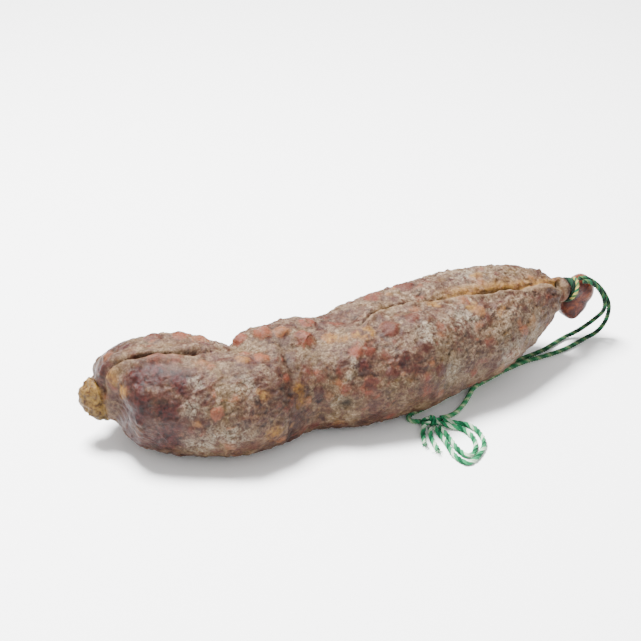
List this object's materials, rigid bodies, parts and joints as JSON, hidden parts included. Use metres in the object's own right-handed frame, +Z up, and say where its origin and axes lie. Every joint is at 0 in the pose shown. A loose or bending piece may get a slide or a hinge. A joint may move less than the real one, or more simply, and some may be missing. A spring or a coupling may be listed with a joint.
{
  "type": "cured sausage",
  "caption": "Dry-cured sausage in a lumpy natural casing, folded along its length into joined lobes, tied at the neck with two-colour twine whose hanging loop ends in a small bow",
  "frame": {"origin": "on the surface that the sausage lies on, under the middle of the box of the sausage and its neck tie", "axes": "+X along the sausage from its blunt end to the tied neck, +Y towards the lobe behind, +Z up"},
  "size_m": [0.2522, 0.0962, 0.0486],
  "materials": {
    "casing": "dried natural casing over coarse cured meat, with a pale mould bloom, red and ochre lumps and a waxy, uneven sheen",
    "twine": "twisted cotton twine, dark green and pale mint yarns, matt and slightly hairy"
  },
  "bodies": {
    "root": {"sausage": "casing", "neck_tie": "twine", "loop_strand_a": "twine", "loop_strand_b": "twine", "bow_knot": "twine", "bow_loop_outer": "twine", "bow_loop_inner": "twine", "tail_a": "twine", "tail_b": "twine"}
  },
  "joints": []
}
